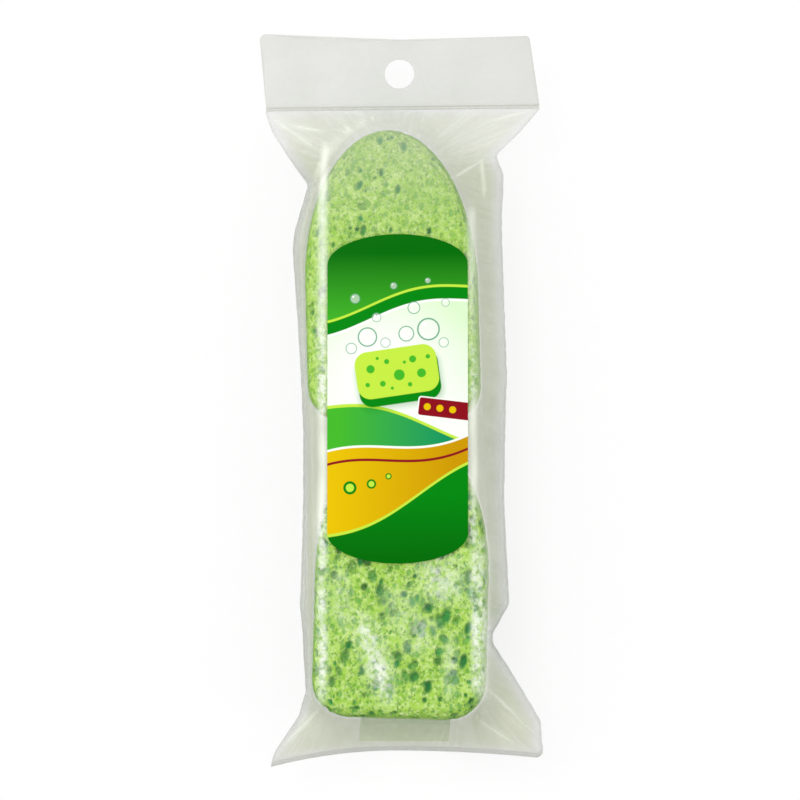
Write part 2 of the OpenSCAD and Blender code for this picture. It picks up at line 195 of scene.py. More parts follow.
def plate(outline, holes, spacing, height, thickness):
    # A thin sheet with any outline and round holes, its height given by a function of x and y
    low, high = outline.min(0), outline.max(0)
    xs = np.arange(low[0] + spacing / 2, high[0], spacing)
    ys = np.arange(low[1] + spacing / 2, high[1], spacing)
    inner = np.array([(x, y) for x in xs for y in ys])
    keep = insidePath(inner, outline) & (distanceToPath(inner, outline, True) > 0.5 * spacing)
    loops = [outline]
    holeSteps = 96
    for cx, cy, r in holes:
        keep &= np.hypot(inner[:, 0] - cx, inner[:, 1] - cy) > r + 0.5 * spacing
        turn = np.arange(holeSteps) * 2 * math.pi / holeSteps
        loops.append(np.stack([cx + r * np.cos(turn), cy + r * np.sin(turn)], 1))
    points = np.vstack(loops + [inner[keep]])
    edges, start = [], 0
    for loop in loops:
        count = len(loop)
        edges += [(start + k, start + (k + 1) % count) for k in range(count)]
        start += count
    # In mm, so that its rounding is harmless
    inMm = [Vector(p) * 1000 for p in points]
    flat, _, tris, _, _, _ = geometry.delaunay_2d_cdt(inMm, edges, [], 0, 1e-5)
    flat = np.array([(p.x, p.y) for p in flat]) * mm
    middles = np.array([flat[list(t)].mean(0) for t in tris])
    good = insidePath(middles, outline)
    for cx, cy, r in holes:
        good &= np.hypot(middles[:, 0] - cx, middles[:, 1] - cy) > r * 0.999
    tris = [tuple(t) for t, ok in zip(tris, good) if ok]
    used = {}
    for t in tris:
        for v in t:
            used.setdefault(v, len(used))
    flat = flat[list(used)]
    tris = [tuple(used[v] for v in t) for t in tris]
    z = height(flat[:, 0], flat[:, 1])
    count = len(flat)
    front = np.column_stack([flat, z + thickness / 2])
    back = np.column_stack([flat, z - thickness / 2])
    verts = np.vstack([front, back])
    sides = {}
    for t in tris:
        for a, b in zip(t, t[1:] + t[:1]):
            sides[(a, b)] = sides.get((a, b), 0) + 1
    faces = list(tris) + [tuple(v + count for v in t[::-1]) for t in tris]
    faces += [(b, a, a + count, b + count) for a, b in sides if (b, a) not in sides]
    return verts, faces


# materials
def makeMaterial(name, roughness, specular=None):
    material = bpy.data.materials.new(name)
    material.use_nodes = True
    tree = material.node_tree
    shader = tree.nodes["Principled BSDF"]
    shader.inputs["Roughness"].default_value = roughness
    if specular is not None:
        shader.inputs["Specular IOR Level"].default_value = specular
    return material, tree, shader


def node(tree, kind, **inputs):
    made = tree.nodes.new(kind)
    for key, value in inputs.items():
        if key in made.inputs:
            made.inputs[key].default_value = value
        else:
            setattr(made, key, value)
    return made


def link(tree, source, target):
    tree.links.new(source, target)


def maths(tree, operation, a, b=None, clamp=False):
    made = tree.nodes.new("ShaderNodeMath")
    made.operation = operation
    made.use_clamp = clamp
    for socket, value in zip(made.inputs, (a, b)):
        if value is None:
            continue
        if isinstance(value, (int, float)):
            socket.default_value = value
        else:
            tree.links.new(value, socket)
    return made.outputs[0]


def mixColour(tree, amount, first, second):
    made = tree.nodes.new("ShaderNodeMix")
    made.data_type = "RGBA"
    for socket, value in ((made.inputs[0], amount), (made.inputs[6], first), (made.inputs[7], second)):
        if isinstance(value, (int, float)):
            socket.default_value = value
        elif isinstance(value, tuple):
            socket.default_value = (*value, 1) if len(value) == 3 else value
        else:
            tree.links.new(value, socket)
    return made.outputs[2]


def makeMottle():
    # Cloudy patches on Object coordinates, shared by all the finishes
    group = bpy.data.node_groups.new("mottle", "ShaderNodeTree")
    plain = {"Scale": 100.0, "Detail": 3.0, "Roughness": 0.55, "Low": 0.3, "High": 0.7}
    for name, value in plain.items():
        socket = group.interface.new_socket(name=name, in_out="INPUT", socket_type="NodeSocketFloat")
        socket.default_value = value
    stretch = group.interface.new_socket(name="Stretch", in_out="INPUT", socket_type="NodeSocketVector")
    stretch.default_value = (1, 1, 1)
    group.interface.new_socket(name="Mask", in_out="OUTPUT", socket_type="NodeSocketFloat")
    start = group.nodes.new("NodeGroupInput")
    end = group.nodes.new("NodeGroupOutput")
    mapping = group.nodes.new("ShaderNodeMapping")
    cloud = group.nodes.new("ShaderNodeTexNoise")
    span = group.nodes.new("ShaderNodeMapRange")
    link(group, objectCoords(group), mapping.inputs["Vector"])
    link(group, start.outputs["Stretch"], mapping.inputs["Scale"])
    link(group, mapping.outputs[0], cloud.inputs["Vector"])
    for name in ("Scale", "Detail", "Roughness"):
        link(group, start.outputs[name], cloud.inputs[name])
    link(group, cloud.outputs["Fac"], span.inputs["Value"])
    link(group, start.outputs["Low"], span.inputs["From Min"])
    link(group, start.outputs["High"], span.inputs["From Max"])
    link(group, span.outputs[0], end.inputs["Mask"])
    return group


def mottled(tree, scale, detail=3.0, roughness=0.55, low=0.0, high=1.0, stretch=(1, 1, 1)):
    # The shared group with this finish's own values
    made = tree.nodes.new("ShaderNodeGroup")
    made.node_tree = mottle
    made.inputs["Scale"].default_value = scale
    made.inputs["Detail"].default_value = detail
    made.inputs["Roughness"].default_value = roughness
    made.inputs["Low"].default_value = low
    made.inputs["High"].default_value = high
    made.inputs["Stretch"].default_value = stretch
    return made.outputs["Mask"]


def objectCoords(tree):
    return tree.nodes.new("ShaderNodeTexCoord").outputs["Object"]


def attribute(tree, name):
    made = tree.nodes.new("ShaderNodeAttribute")
    made.attribute_name = name
    return made.outputs["Fac"]


def rangeOf(tree, value, low, high, toLow=0.0, toHigh=1.0):
    made = tree.nodes.new("ShaderNodeMapRange")
    made.inputs["From Min"].default_value = low
    made.inputs["From Max"].default_value = high
    made.inputs["To Min"].default_value = toLow
    made.inputs["To Max"].default_value = toHigh
    tree.links.new(value, made.inputs["Value"])
    return made.outputs[0]


def bumpOf(tree, shader, height, distance, strength=1.0):
    made = node(tree, "ShaderNodeBump", Strength=strength, Distance=distance)
    tree.links.new(height, made.inputs["Height"])
    tree.links.new(made.outputs[0], shader.inputs["Normal"])


def filmMaterial():
    look = {
        "colour": (0.56, 0.565, 0.53),
        "green": (0.50, 0.53, 0.365),   # painted green light, bounced from the sponges, that tints it
        "milkAndShine": (0.90, 0.94, 0.84),     # whiter film along the smears, and painted highlights along the folds
        "shade": 0.4,                   # the part of its veil that also casts shade
        "roughness": 0.2,
        "specular": 0.3,
    }
    material, tree, shader = makeMaterial("filmHazy", look["roughness"], look["specular"])
    colour = mixColour(tree, attribute(tree, "greenBounce"), look["colour"], look["green"])
    colour = mixColour(tree, attribute(tree, "milkAndShine"), colour, look["milkAndShine"])
    link(tree, colour, shader.inputs["Base Color"])
    cloud = rangeOf(tree, mottled(tree, 55, 4.0), 0.3, 0.7, 0.90, 1.10)
    alpha = maths(tree, "MULTIPLY", attribute(tree, "haze"), cloud, clamp=True)
    # Where it clings it touches only the sponge's high spots
    touching = rangeOf(tree, mottled(tree, 520, 4.0, 0.65), 0.42, 0.60, 0.25, 1.25)
    cling = attribute(tree, "cling")
    patchy = maths(tree, "MULTIPLY", alpha, touching)
    even = maths(tree, "MULTIPLY", alpha, maths(tree, "SUBTRACT", 1.0, cling))
    alpha = maths(tree, "ADD", maths(tree, "MULTIPLY", patchy, cling), even, clamp=True)
    # Hazy film scatters light forwards, so it shades what is under it less than it veils it
    path = tree.nodes.new("ShaderNodeLightPath")
    lighting = maths(tree, "MAXIMUM", path.outputs["Is Shadow Ray"], path.outputs["Is Diffuse Ray"])
    passing = rangeOf(tree, lighting, 0, 1, 1.0, look["shade"])
    link(tree, maths(tree, "MULTIPLY", alpha, passing), shader.inputs["Alpha"])
    bumpOf(tree, shader, mottled(tree, 260, 3.0), 0.25 * mm, 0.35)
    return material


def poreLayer(tree, cells, size, gateScale, gateAt):
    # Small round holes: 1 in a hole and 0 on the wall between holes
    mapping = tree.nodes.new("ShaderNodeMapping")
    mapping.inputs["Scale"].default_value = (1.0, 0.68, 1.0)
    link(tree, objectCoords(tree), mapping.inputs["Vector"])
    wobble = node(tree, "ShaderNodeTexNoise", Scale=cells * 0.9, Detail=2.0)
    link(tree, mapping.outputs[0], wobble.inputs["Vector"])
    moved = node(tree, "ShaderNodeVectorMath", operation="MULTIPLY_ADD")
    link(tree, wobble.outputs["Color"], moved.inputs[0])
    moved.inputs[1].default_value = (0.5 / cells,) * 3
    link(tree, mapping.outputs[0], moved.inputs[2])
    cell = node(tree, "ShaderNodeTexVoronoi", Scale=cells)
    link(tree, moved.outputs[0], cell.inputs["Vector"])
    hole = rangeOf(tree, cell.outputs["Distance"], size, size * 0.55)
    gate = mottled(tree, gateScale, 2.0, low=gateAt, high=gateAt + 0.05)
    return maths(tree, "MULTIPLY", hole, gate, clamp=True)


def spongeMaterial():
    look = {
        "chalk": (0.66, 0.80, 0.36),
        "pale": (0.42, 0.66, 0.10),
        "fresh": (0.25, 0.50, 0.03),
        # painted shade inside the pores
        "hole": (0.014, 0.30, 0.045),
        "shade": (0.08, 0.34, 0.035),
        # painted shade on the sponges' upright sides
        "side": (0.20, 0.42, 0.055),
        "roughness": 0.85,
        "specular": 0.08,
    }
    material, tree, shader = makeMaterial("cellulose", look["roughness"], look["specular"])
    patches = mottled(tree, 300, 6.0, 0.68, low=0.38, high=0.62)
    body = mixColour(tree, patches, look["fresh"], look["pale"])
    chalky = mottled(tree, 850, 5.0, 0.7, low=0.47, high=0.66)
    body = mixColour(tree, maths(tree, "MULTIPLY", chalky, 0.85), body, look["chalk"])
    broad = rangeOf(tree, mottled(tree, 70, 2.0), 0.35, 0.7, 0.0, 0.35)
    body = mixColour(tree, broad, body, look["fresh"])
    # Upright sides darkened: painted shade
    body = mixColour(tree, maths(tree, "MULTIPLY", attribute(tree, "side"), 0.7), body, look["side"])
    fine = attribute(tree, "fine")
    medium = poreLayer(tree, 480.0, 0.46, 240, 0.47)
    tiny = poreLayer(tree, 1150.0, 0.42, 450, 0.45)
    tiny = maths(tree, "MULTIPLY", tiny, 0.8)
    specks = maths(tree, "MULTIPLY", maths(tree, "MAXIMUM", medium, tiny), fine)
    body = mixColour(tree, maths(tree, "MULTIPLY", specks, 0.7), body, look["shade"])
    # Pores darkened towards the hole colour: painted shade in them
    poreShade = attribute(tree, "poreShade")
    link(tree, mixColour(tree, poreShade, body, look["hole"]), shader.inputs["Base Color"])
    relief = maths(tree, "SUBTRACT", mottled(tree, 900, 4.0, 0.7), specks)
    bumpOf(tree, shader, relief, 0.5 * mm, 0.8)
    return material


def plasticMaterial():
    look = {"colour": (0.10, 0.33, 0.045), "deep": (0.07, 0.25, 0.03), "smoothest": 0.34, "roughest": 0.5}
    material, tree, shader = makeMaterial("mouldedGreen", look["roughest"])
    flow = mottled(tree, 45, 3.0, low=0.35, high=0.65, stretch=(1, 0.35, 1))
    link(tree, mixColour(tree, flow, look["deep"], look["colour"]), shader.inputs["Base Color"])
    sheen = rangeOf(tree, mottled(tree, 350, 2.0), 0.3, 0.7, look["smoothest"], look["roughest"])
    link(tree, sheen, shader.inputs["Roughness"])
    bumpOf(tree, shader, mottled(tree, 1400, 2.0), 0.05 * mm, 0.35)
    return material


def glueMaterial():
    look = {"amber": (0.78, 0.70, 0.42), "pale": (0.90, 0.86, 0.66), "roughness": 0.3}
    material, tree, shader = makeMaterial("hotMelt", look["roughness"])
    cloud = mottled(tree, 220, 4.0, low=0.3, high=0.7)
    link(tree, mixColour(tree, cloud, look["amber"], look["pale"]), shader.inputs["Base Color"])
    bumpOf(tree, shader, mottled(tree, 300, 3.0), 0.3 * mm, 0.6)
    return material


def paperMaterial():
    look = {
        "fibre": (0.90, 0.93, 0.86),
        "white": (0.95, 0.97, 0.92),
        "through": (0.86, 1.0, 0.74),   # a painted glow, standing in for light that comes through it from behind
        "throughStrength": 0.30,
        "roughness": 0.6,
    }
    material, tree, shader = makeMaterial("plainPaper", look["roughness"])
    fibre = mottled(tree, 1500, 4.0, 0.7, low=0.3, high=0.7)
    link(tree, mixColour(tree, fibre, look["fibre"], look["white"]), shader.inputs["Base Color"])
    # The paper glows a little: painted light in place of light through it from behind
    shader.inputs["Emission Color"].default_value = (*look["through"], 1)
    shader.inputs["Emission Strength"].default_value = look["throughStrength"]
    bumpOf(tree, shader, mottled(tree, 2200, 3.0), 0.04 * mm, 0.4)
    return material


# The label's picture, with places and sizes in mm from its middle
artwork = {
    "ink": {
        "deep": (0.0, 0.13, 0.001),
        "green": (0.0, 0.21, 0.004),
        "leaf": (0.05, 0.42, 0.02),
        "teal": (0.0, 0.24, 0.11),
        "lime": (0.48, 0.72, 0.05),
        "pale": (0.62, 0.80, 0.52),
        "white": (0.84, 0.88, 0.82),
        "yellow": (0.70, 0.47, 0.0),
        "amber": (0.52, 0.27, 0.0),
        "red": (0.23, 0.004, 0.010),
    },
    "topWave": {"height": 2.4, "length": 60, "turn": 0.9, "lean": 0.20},
    "greenWave": {"height": 3.6, "length": 74, "turn": 2.2, "lean": -0.16},
    "goldWave": {"height": 4.4, "length": 80, "turn": 3.4, "lean": 0.30},
    "lowWave": {"height": 3.2, "length": 66, "turn": 5.6, "lean": 0.42},
    "spongeLean": 0.14,
    # Round marks: x, y, radius
    "spongePores": [
        (-8.5, 9.2, 1.3), (-4.6, 4.6, 0.9), (-3.4, 11.6, 0.8), (0.6, 7.4, 1.7),
        (4.8, 12.4, 1.1), (7.6, 8.0, 1.4), (4.0, 4.4, 0.7), (9.6, 13.2, 0.7),
        (-9.4, 4.2, 0.7), (-6.4, 12.6, 0.5), (2.2, 11.4, 0.5), (-1.6, 3.2, 0.5),
    ],
    "bubbles": [
        (-9.5, 19.4, 3.1), (-3.8, 17.6, 1.6), (2.8, 20.4, 2.5), (9.8, 21.8, 3.6),
        (14.6, 17.6, 1.6), (-14.6, 15.8, 1.8), (-6.6, 25.6, 1.5), (5.2, 28.6, 2.0),
        (15.2, 30.2, 1.3), (-13.4, 31.6, 1.6), (-1.2, 35.6, 1.1), (9.6, 37.2, 0.9),
    ],
    "ribbonDots": [(9.4, -2.7, 1.1), (13.4, -3.2, 1.1), (17.4, -3.7, 1.1)],
    "ribbonLean": -0.12,
    "drops": [(-15.0, -28.2, 2.1), (-8.2, -27.0, 1.5), (-2.8, -24.6, 1.0)],
    "roughness": 0.3,
    "specular": 0.04,
}


def labelMaterial(middle):
    # A sponge with soap bubbles over printed waves, in greens, yellow, white and dark red
    ink = artwork["ink"]
    material, tree, shader = makeMaterial("printedLabel", artwork["roughness"], artwork["specular"])
    split = tree.nodes.new("ShaderNodeSeparateXYZ")
    mapping = tree.nodes.new("ShaderNodeMapping")
    mapping.inputs["Location"].default_value = (-middle[0], -middle[1], 0)
    link(tree, objectCoords(tree), mapping.inputs["Vector"])
    link(tree, mapping.outputs[0], split.inputs[0])
    x, y = split.outputs[0], split.outputs[1]

    def both(a, b):
        return maths(tree, "MULTIPLY", a, b)

    def without(a, b):
        return both(a, maths(tree, "SUBTRACT", 1.0, b))

    def diagonal(u, v):
        return maths(tree, "SQRT", maths(tree, "ADD", both(u, u), both(v, v)))

    def below(base, height, length, turn, lean=0.0, soft=0.1):
        # 1 under the line y = base + lean x + height sin(x), 0 over it
        angle = maths(tree, "ADD", maths(tree, "MULTIPLY", x, 2 * math.pi / (length * mm)), turn)
        line = maths(tree, "MULTIPLY", maths(tree, "SINE", angle), height * mm)
        line = maths(tree, "ADD", line, maths(tree, "MULTIPLY", x, lean))
        over = maths(tree, "SUBTRACT", maths(tree, "SUBTRACT", y, line), base * mm)
        return rangeOf(tree, over, soft * mm, -soft * mm)

    def disc(cx, cy, r, soft=0.1):
        dx = maths(tree, "SUBTRACT", x, cx * mm)
        dy = maths(tree, "SUBTRACT", y, cy * mm)
        return rangeOf(tree, diagonal(dx, dy), (r + soft) * mm, (r - soft) * mm)

    def slab(cx, cy, wide, high, corner, turn, soft=0.1):
        # 1 inside a leaning rectangle with round corners
        dx = maths(tree, "SUBTRACT", x, cx * mm)
        dy = maths(tree, "SUBTRACT", y, cy * mm)
        c, s = math.cos(turn), math.sin(turn)
        u = maths(tree, "ADD", maths(tree, "MULTIPLY", dx, c), maths(tree, "MULTIPLY", dy, s))
        v = maths(tree, "SUBTRACT", maths(tree, "MULTIPLY", dy, c), maths(tree, "MULTIPLY", dx, s))
        u = maths(tree, "SUBTRACT", maths(tree, "ABSOLUTE", u), (wide / 2 - corner) * mm)
        v = maths(tree, "SUBTRACT", maths(tree, "ABSOLUTE", v), (high / 2 - corner) * mm)
        inner = maths(tree, "MINIMUM", maths(tree, "MAXIMUM", u, v), 0.0)
        u = maths(tree, "MAXIMUM", u, 0.0)
        v = maths(tree, "MAXIMUM", v, 0.0)
        far = maths(tree, "SUBTRACT", maths(tree, "ADD", diagonal(u, v), inner), corner * mm)
        return rangeOf(tree, far, soft * mm, -soft * mm)

    # Ground: deep green at the top that lightens downwards
    colour = mixColour(tree, rangeOf(tree, y, 22 * mm, 46 * mm), ink["leaf"], ink["deep"])
    # Pale field under a leaning wave, with two printed lines above it
    edge = artwork["topWave"]
    colour = mixColour(tree, below(31.5, **edge), colour, ink["lime"])
    colour = mixColour(tree, below(30.7, **edge), colour, ink["green"])
    colour = mixColour(tree, below(27.0, **edge), colour, ink["white"])
    field = mixColour(tree, rangeOf(tree, y, -14 * mm, 24 * mm), ink["white"], ink["pale"])
    glow = disc(-4, 8, 19, soft=12)
    field = mixColour(tree, glow, field, ink["white"])
    colour = mixColour(tree, below(26.2, **edge), colour, field)
    # Green and yellow waves that fill the lower half
    rise = artwork["greenWave"]
    colour = mixColour(tree, below(-7.0, **rise), colour, ink["lime"])
    leaves = mixColour(tree, rangeOf(tree, x, -18 * mm, 20 * mm), ink["leaf"], ink["teal"])
    colour = mixColour(tree, below(-8.0, **rise), colour, leaves)
    fall = artwork["goldWave"]
    gold = mixColour(tree, rangeOf(tree, x, -20 * mm, 18 * mm), ink["yellow"], ink["amber"])
    colour = mixColour(tree, below(-14.0, **fall), colour, ink["white"])
    colour = mixColour(tree, below(-14.7, **fall), colour, gold)
    colour = mixColour(tree, below(-18.2, **fall), colour, ink["red"])
    colour = mixColour(tree, below(-19.0, **fall), colour, gold)
    sweep = artwork["lowWave"]
    low = mixColour(tree, rangeOf(tree, y, -50 * mm, -30 * mm), ink["deep"], ink["green"])
    colour = mixColour(tree, below(-32.5, **sweep), colour, ink["lime"])
    colour = mixColour(tree, below(-33.4, **sweep), colour, low)

    # The sponge: a shadow, a side and a face with round pores
    lean = artwork["spongeLean"]
    colour = mixColour(tree, both(slab(0.6, 5.4, 27, 16.5, 4.5, lean, 1.4), 0.45), colour, ink["green"])
    colour = mixColour(tree, slab(0.4, 6.4, 26, 16, 4.2, lean), colour, ink["green"])
    colour = mixColour(tree, slab(-0.2, 8.4, 26, 15, 4.2, lean), colour, ink["lime"])
    for cx, cy, r in artwork["spongePores"]:
        colour = mixColour(tree, disc(cx, cy, r), colour, ink["leaf"])
    # Bubbles that rise from it
    for cx, cy, r in artwork["bubbles"]:
        colour = mixColour(tree, both(disc(cx, cy, r), 0.4), colour, ink["white"])
        ring = both(without(disc(cx, cy, r), disc(cx, cy, r * 0.86)), 0.8)
        colour = mixColour(tree, ring, colour, ink["teal"])
        shine = disc(cx - r * 0.36, cy + r * 0.38, r * 0.2, 0.06)
        colour = mixColour(tree, shine, colour, ink["white"])
    # A red ribbon on the right, and drops on the yellow
    lean = artwork["ribbonLean"]
    colour = mixColour(tree, slab(15.0, -3.4, 17.4, 6.4, 1.0, lean), colour, ink["white"])
    colour = mixColour(tree, slab(15.0, -3.4, 16.6, 5.6, 0.7, lean), colour, ink["red"])
    for cx, cy, r in artwork["ribbonDots"]:
        colour = mixColour(tree, disc(cx, cy, r), colour, ink["yellow"])
    for cx, cy, r in artwork["drops"]:
        colour = mixColour(tree, disc(cx, cy, r), colour, ink["green"])
        colour = mixColour(tree, disc(cx, cy, r * 0.62), colour, ink["lime"])
    link(tree, colour, shader.inputs["Base Color"])
    bumpOf(tree, shader, mottled(tree, 160, 2.0), 0.15 * mm, 0.25)
    return material


# the film's shape
bag = {
    "thickness": 0.12 * mm,
    "seam": 1.1 * mm,          # flat weld along each side
    "rows": 300,
    "columns": 124,
    "crown": 0.42 * mm,        # how far the front falls from its middle to its edges
    "crownAt": -0.5 * mm,      # the middle of that crown
    "crownReach": 24 * mm,
    "slack": 0.10 * mm,        # how uneven it lies over the sponges
    "front": {
        "grow": 0.5 * mm,      # how far its flat reaches past the sponges' own flat
        "turn": 3.6 * mm,      # width of the rounded turn round that flat
        "gap": 0.42 * mm,      # between the flat and what it lies on
        "drop": 4.6 * mm,      # from the sponges' face down to the foot of the turn
        "seeds": (21, 22, 23, 24),
    },
    "back": {
        "grow": -3.4 * mm,
        "turn": 6.6 * mm,
        "gap": 0.2 * mm,
        "drop": 0.35 * mm,
        "seeds": (31, 32, 33, 34),
    },
    "sag": 1.3 * mm,           # of slack film between a sponge's side and the seam
    "seamLift": 1.1 * mm,      # how far the welded sides rise and dip
    "pucker": 0.42 * mm,       # heights of the creases: side fins, above the contents, below them
    "tentCrease": 1.0 * mm,
    "footCrease": 0.85 * mm,
    "fanInside": 14 * mm,      # where the creases fan out from, inside the ends of the contents
    "fanAside": 20 * mm,
    "foot": 10.1 * mm,
    "footSagLeft": 5.4 * mm,
    "footSagRight": 2.3 * mm,
    "footCorner": 2.4 * mm,
}
footY = endY - bag["foot"]

# Side edges of the bag, from the header seal down: y, x in mm
leftEdge = [
    (93.3, -43.5), (90.2, -42.7), (86.2, -41.2), (78, -35.9), (69, -29.6), (54.5, -33.9), (48.5, -34.6),
    (24, -32.8), (8.5, -31.9), (-10.5, -31.0), (-33.5, -31.0), (-54, -31.5), (-66.5, -31.9), (-73, -31.2),
    (-94.2, -30.1), (-102, -32.4), (-104.7, -35.2), (-109.4, -40.0), (-112.2, -41.2),
]
rightEdge = [
    (93.3, 45.4), (90.2, 42.9), (85.7, 39.0), (78.2, 31.1), (72, 33.6), (65, 33.3), (55, 32.9), (24, 33.9),
    (8.5, 34.5), (-10.5, 33.9), (-33.5, 33.5), (-54, 34.5), (-66, 35.1), (-75.4, 29.7), (-78.4, 29.9),
    (-87.4, 35.6), (-95.4, 40.5), (-103.2, 45.0), (-112.2, 45.6),
]


# How milky one skin of the film is
film = {
    "over": 0.012,          # over the lower sponge
    "upper": 0.02,          # more over the upper one
    "tip": 0.14,            # and more again towards its tip
    "left": 0.325,          # the side fins
    "right": 0.245,
    "tent": 0.105,          # above the contents
    "foot": 0.235,          # below them
    "crease": 0.06,         # more along creases
    "sharp": 0.06 * mm,     # the bend between grid points that makes a full crease
    "edge": 0.07,           # more along the welded sides
    "glint": 0.30,          # light caught where the film turns
}

# The folds that catch the light, in mm: from x, y, to x, y, width, wander, strength, seed
folds = [
    (-23.2, -98, -23.4, 83, 1.4, 0.35, 0.52, 51),
    (24.8, -94, 23.9, 62, 1.2, 0.4, 0.34, 53),
    (26.7, -97, 27.0, -44, 1.7, 0.3, 0.34, 55),
    (-41.5, 91, -26.0, 79.5, 0.5, 0.3, 0.30, 57),
    (-36.0, 88.6, -23.0, 85.6, 0.5, 0.2, 0.26, 59),
    (-23.5, 87.0, -15.5, 84.6, 0.4, 0.2, 0.24, 61),
    (16.5, 68.0, 28.5, 77.5, 0.5, 0.5, 0.22, 63),
    (26.6, 78.0, 27.6, 62.0, 0.6, 0.3, 0.26, 65),
    (26.0, 88.0, 42.5, 92.5, 0.4, 0.3, 0.18, 67),
    (-24.0, -98.0, -38.0, -112.0, 0.6, 0.5, 0.20, 69),
    (28.0, -92.0, 44.0, -108.0, 0.5, 0.5, 0.18, 71),
    (24.0, -101.0, 39.0, -112.0, 0.6, 0.4, 0.16, 73),
]

# Milky smears where the film clings to the lower sponge: x, y, half width, half length, lean, strength
smears = [
    (-7.0, -82, 3.6, 11, 0.28, 0.30), (-4.2, -90, 2.2, 7, 0.2, 0.22), (14.6, -58, 5.5, 7, 0.1, 0.26),
    (7.6, -76, 4.0, 5, -0.3, 0.14), (-17, -64, 2.4, 9, 0.05, 0.14), (17, -86, 2.0, 9, 0.0, 0.14),
    (2.0, -68, 5.0, 7, 0.3, 0.10), (-10.5, -72, 2.2, 4, 0.5, 0.14),
]


def edgeLines(y):
    left = brokenLine(leftEdge, y) + 0.12 * mm * waves(y, 11, [6 * mm, 14 * mm])
    right = brokenLine(rightEdge, y) + 0.15 * mm * waves(y, 12, [5 * mm, 12 * mm])
    return left, right


def footSag(x, left, right):
    sag = np.where(x < 0, bag["footSagLeft"] * (x / left) ** 2, bag["footSagRight"] * (x / right) ** 2)
    radius = bag["footCorner"]
    into = np.clip(x - (right - radius), 0, radius)
    return sag - (radius - np.sqrt(radius**2 - into**2))


def flatOutline(z, grow):
    # Outline of both refills' flat faces over their whole travel
    points = []
    for name in ("upper", "lower"):
        sponge = cadNodes[name + "_sponge"]
        joint = joints[name + "_refill_shift"]
        reach = max(joint["range_m"], key=abs)
        shift = np.array(joint["axis"][:2]) * reach
        co = np.array([v.co for v in sponge.data.vertices])
        level = co[np.abs(co[:, 2] - z) < 1e-5][:, :2]
        points += [level, level + shift]
    outline = convexOutline(np.vstack(points))
    if grow:
        middle = outline.mean(0)
        out = outline - middle
        # Every side moves by the same distance
        nexts = np.roll(outline, -1, 0) - outline
        lasts = outline - np.roll(outline, 1, 0)
        normal = np.stack([(nexts + lasts)[:, 1], -(nexts + lasts)[:, 0]], 1)
        normal /= np.linalg.norm(normal, axis=1, keepdims=True)
        normal *= np.sign((normal * out).sum(1, keepdims=True))
        outline = outline + normal * grow
    return outline


def filmGrid():
    # Places in plan that the front and the back film share
    nominal = np.linspace(sealY, footY, bag["rows"])
    share = np.linspace(0, 1, bag["columns"])
    left, right = edgeLines(nominal)
    x = left[:, None] + (right - left)[:, None] * share[None, :]
    y = np.repeat(nominal[:, None], bag["columns"], 1)
    near = np.clip((endY - y) / bag["foot"], 0, 1)
    y = y - footSag(x, left[:, None], right[:, None]) * near
    fromSide = np.minimum(x - left[:, None], right[:, None] - x)
    fromEnd = np.minimum(sealY - nominal, nominal - footY)[:, None] + np.zeros_like(x)
    return x, y, fromSide, fromEnd


def fromContents(points):
    # Distance in plan from the two sponges, below 0 over them
    nearest = np.full(points.shape[:-1], np.inf)
    for name in ("upper", "lower"):
        co = np.array([v.co[:2] for v in cadNodes[name + "_sponge"].data.vertices])
        outline = convexOutline(co)
        far = distanceToPath(points, outline, True)
        nearest = np.minimum(nearest, np.where(insidePath(points, outline), -far, far))
    return nearest


def seamLift(y):
    # The welded sides don't lie level: they rise and dip along the bag
    calm = ramp(y, footY - 1 * mm, footY + 22 * mm) * ramp(y, sealY, sealY - 18 * mm)
    return bag["seamLift"] * waves(y, 5, [38 * mm, 60 * mm]) * calm


def crownOver(x, y):
    # The front bows a little over the sponges: its fall towards the edges, and its unevenness
    across = np.clip(np.abs(x - bag["crownAt"]) / bag["crownReach"], 0, 1)
    fall = bag["crown"] * across**2.6
    uneven = bag["slack"] * waves(y, 41, [30 * mm, 11 * mm]) * (1 - across)
    return fall, uneven


def filmRipple(x, y, top, bottom, seeds):
    # Puckers across the side fins, and creases that run from the ends of the contents to the corners
    inside, aside = bag["fanInside"], bag["fanAside"]
    noseX = (upperBox[0].x + upperBox[1].x) / 2
    toNose = np.arctan2(y - (tipY - inside), x - noseX)
    footLeft = np.arctan2(endY + inside - y, -aside - x)
    footRight = np.arctan2(endY + inside - y, x - aside)
    pucker = waves(y + 0.35 * np.abs(x), seeds[0], [7 * mm, 4.2 * mm, 12 * mm])
    fan = waves(toNose, seeds[1], [0.22, 0.13, 0.4])
    leftFan = waves(footLeft, seeds[2], [0.30, 0.17, 0.5])
    rightFan = waves(footRight, seeds[3], [0.30, 0.18, 0.5])
    footFan = np.where(x < 0, leftFan, rightFan)
    ripple = bag["pucker"] * pucker * (1 - top) * (1 - bottom)
    return ripple + bag["tentCrease"] * fan * top + bag["footCrease"] * footFan * bottom


def foldShine(points):
    # Light caught along the main folds of the front
    total = np.zeros(points.shape[:-1])
    for fromX, fromY, toX, toY, width, wander, strength, seed in folds:
        start = np.array([fromX, fromY]) * mm
        along = np.array([toX, toY]) * mm - start
        length = np.linalg.norm(along)
        reach = ((points - start) @ along) / length
        off = ((points - start) @ np.array([along[1], -along[0]])) / length
        off = off - wander * mm * waves(reach, seed, [70 * mm, 26 * mm])
        ends = np.clip(reach / (4 * mm), 0, 1) * np.clip((length - reach) / (4 * mm), 0, 1)
        fades = 0.8 + 0.35 * waves(reach, seed + 1, [16 * mm, 45 * mm])
        total += strength * np.exp(-((off / (width * mm)) ** 2)) * ends * fades
    return total


